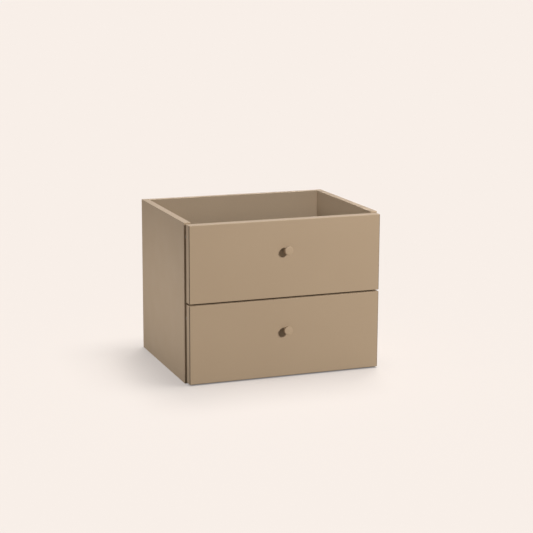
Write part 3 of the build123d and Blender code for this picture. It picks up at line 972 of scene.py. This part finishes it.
floor_mesh = bpy.data.meshes.new("studio_floor")
floor_corners = [(x * floor_reach, y * floor_reach, 0) for x, y in ((-1, -1), (1, -1), (1, 1), (-1, 1))]
floor_mesh.from_pydata(floor_corners, [], [(0, 1, 2, 3)])
studio_floor = bpy.data.objects.new("studio_floor", floor_mesh)
bpy.context.scene.collection.objects.link(studio_floor)
studio_floor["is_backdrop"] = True

paper = bpy.data.materials.new("studio_paper")
paper.use_nodes = True
paper.cycles.emission_sampling = "NONE"
tree = paper.node_tree
tree.nodes.clear()
bounced = add_node(tree, "ShaderNodeLightPath").outputs["Is Diffuse Ray"]
place = add_node(tree, "ShaderNodeTexCoord").outputs["Object"]
fibres = noise(tree, place, fibre_scale)
paper_tones = {0: fibres, 6: (*floor_paper[0], 1), 7: (*floor_paper[1], 1)}
paper_tone = add_node(tree, "ShaderNodeMix", paper_tones, data_type="RGBA").outputs[2]
seen_paper = add_node(tree, "ShaderNodeBsdfDiffuse", {"Color": paper_tone})
dim_paper = add_node(tree, "ShaderNodeBsdfDiffuse", {"Color": (*floor_bounce, 1)})
papers = {0: bounced, 1: seen_paper.outputs[0], 2: dim_paper.outputs[0]}
sheet = add_node(tree, "ShaderNodeMixShader", papers)
open_floor = outside_of(tree, place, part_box("lower_drawer_front")[0], cad_high)
strength = math_node(tree, "MULTIPLY", seen_ray(tree), open_floor)
glow = add_node(tree, "ShaderNodeEmission", {"Color": (*floor_glow, 1), "Strength": strength})
glowing = add_node(tree, "ShaderNodeAddShader", {0: sheet.outputs[0], 1: glow.outputs[0]})
add_node(tree, "ShaderNodeOutputMaterial", {"Surface": glowing.outputs[0]})
floor_mesh.materials.append(paper)
print("floor:", 2 * floor_reach, "m square")

# %% [markdown]
# ## Backdrop
# Behind the floor the world shows the same white to the camera and to reflections. To everything else it
# is a dim room, which fills the shadows a little and leaves the modelling to the lamps.

# %% Backdrop
backdrop_white = (0.947, 0.871, 0.815)
room_tint = (1, 0.98, 0.96)
room_strength = 0.085

world = bpy.data.worlds.new("studio")
bpy.context.scene.world = world
world.use_nodes = True
tree = world.node_tree
tree.nodes.clear()
dim_room = add_node(tree, "ShaderNodeBackground", {"Color": (*room_tint, 1), "Strength": room_strength})
white_wall = add_node(tree, "ShaderNodeBackground", {"Color": (*backdrop_white, 1), "Strength": 1})
walls = {0: seen_ray(tree), 1: dim_room.outputs[0], 2: white_wall.outputs[0]}
room = add_node(tree, "ShaderNodeMixShader", walls)
add_node(tree, "ShaderNodeOutputWorld", {"Surface": room.outputs[0]})
print("backdrop:", backdrop_white)

# %% [markdown]
# ## Lamps
# Several lamps share the work, and each one lights only some of the pieces, as a photographer shades
# parts of a set from a lamp with black cards. In Blender this is light linking: a lamp is given the group
# of pieces that it lights. One big dome of light would be simpler, but then the knobs would lose their
# shadows.


# %% Lamp helpers
def lit_group(name, pieces, state):
    """Pieces that a lamp lights alone (INCLUDE), or leaves out (EXCLUDE)."""
    group = bpy.data.collections.new(name)
    for piece in pieces:
        group.objects.link(piece)
    for entry in group.collection_objects:
        entry.light_linking.link_state = state
    return group


def hang(name, lamp, towards, lights):
    """Hangs a lamp in a direction, seen by no camera, over the group that it lights."""
    holder = bpy.data.objects.new(name, lamp)
    holder.rotation_euler = Vector(towards).to_track_quat("Z", "Y").to_euler()
    holder.light_linking.receiver_collection = lights
    holder.visible_camera = False
    bpy.context.scene.collection.objects.link(holder)
    return holder


face_pieces = ("front_board", "turned_knob")
face_names = [f"{drawer}_{piece}" for drawer in drawers for piece in face_pieces]
drawer_faces = [bpy.data.objects[name] for name in face_names]
left_side = frame["nodes"]["left_side_panel"]
right_side = frame["nodes"]["right_side_panel"]
back_panel = frame["nodes"]["back_panel"]

faces_and_sides = lit_group("faces_and_sides", [*drawer_faces, left_side, right_side], "INCLUDE")
back_alone = lit_group("back_alone", [back_panel], "INCLUDE")
right_side_alone = lit_group("right_side_alone", [right_side], "INCLUDE")
floor_alone = lit_group("floor_alone", [studio_floor], "INCLUDE")
all_but_the_floor = lit_group("all_but_the_floor", [studio_floor], "EXCLUDE")
print("lit groups:", len(drawer_faces), "faces, 2 sides, back and floor")

# %% [markdown]
# ## Near lamps
# The key hangs to the front right. It models the fronts and throws the small shadow beside each knob, and
# because it is near, its light fades a little towards the left and the bottom as it does in the
# photograph. A low strip stands beside the left panel, which is brightest below its middle.

# %% Near lamps
white = (1, 1, 1)
warm_white = (1.02, 1, 0.975)
near_lamps = {
    "key_light": {
        "aim": (0, -0.148, 0.16),
        "towards": (0.45, -0.8, 0.41),
        "distance": 3,
        "size": (0.52, 0.52),
        "power": 90,
        "tint": warm_white,
        "lights": faces_and_sides,
    },
    "side_light": {
        "aim": (-0.2, 0.02, 0.13),
        "towards": (-1, 0, 0),
        "distance": 0.33,
        "size": (0.75, 0.12),
        "power": 0.92,
        "tint": white,
        "lights": all_but_the_floor,
    },
}
for name, setting in near_lamps.items():
    lamp = bpy.data.lights.new(name, "AREA")
    lamp.shape = "ELLIPSE"
    lamp.size, lamp.size_y = setting["size"]
    lamp.energy = setting["power"]
    lamp.color = setting["tint"]
    holder = hang(name, lamp, setting["towards"], setting["lights"])
    offset = Vector(setting["towards"]).normalized() * setting["distance"]
    holder.location = Vector(setting["aim"]) + offset
print("near lamps:", ", ".join(near_lamps))

# %% [markdown]
# ## Far lamps
# A far lamp shines in parallel, as the sun does, so it lights a whole panel alike. The front lamp looks
# over the fronts at the back panel, and the inside lamp comes low over the left side to the right one.
# The top lamp is a cool white on the upper edges. Three lamps draw the shadow on the floor: one from
# behind throws it to the front, one from the right throws it to the left, and a broad one from above
# lays it close around the foot.

# %% Far lamps
pale_blue = (0.975, 1, 1.04)
sky_blue = (0.95, 1, 1.1)
# direction to the lamp, strength, spread in degrees, tint and what it lights
far_lamps = {
    "front_light": ((-0.277, -0.737, 0.616), 2.4, 10, pale_blue, back_alone),
    "inside_light": ((-0.95, -0.2, 0.2), 0.88, 20, white, right_side_alone),
    "top_light": ((0, 0.3, 1), 3.1, 40, sky_blue, all_but_the_floor),
    "floor_light": ((0.24, 0.4, 1), 1.24, 20, warm_white, floor_alone),
    "floor_fill": ((0.08, 0, 1), 2.08, 32, warm_white, floor_alone),
    "floor_side_light": ((0.38, -0.08, 1), 1.21, 26, warm_white, floor_alone),
}
for name, (towards, strength, spread, tint, lights) in far_lamps.items():
    lamp = bpy.data.lights.new(name, "SUN")
    lamp.energy = strength
    lamp.angle = math.radians(spread)
    lamp.color = tint
    hang(name, lamp, towards, lights)
print("far lamps:", ", ".join(far_lamps))

# %% [markdown]
# ## Finish
# Both boxes, of the solids and of the dressed object, are gathered side by side, and their sizes printed.
# The dressed object has to stay as large as its solids.

# %% Sizes and finish
dressed_low, dressed_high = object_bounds()
sizes = {
    "cad": [list(cad_low), list(cad_high)],
    "visual": [list(dressed_low), list(dressed_high)],
}
print("size of the solids", cad_high - cad_low, "and of the dressed object", dressed_high - dressed_low)
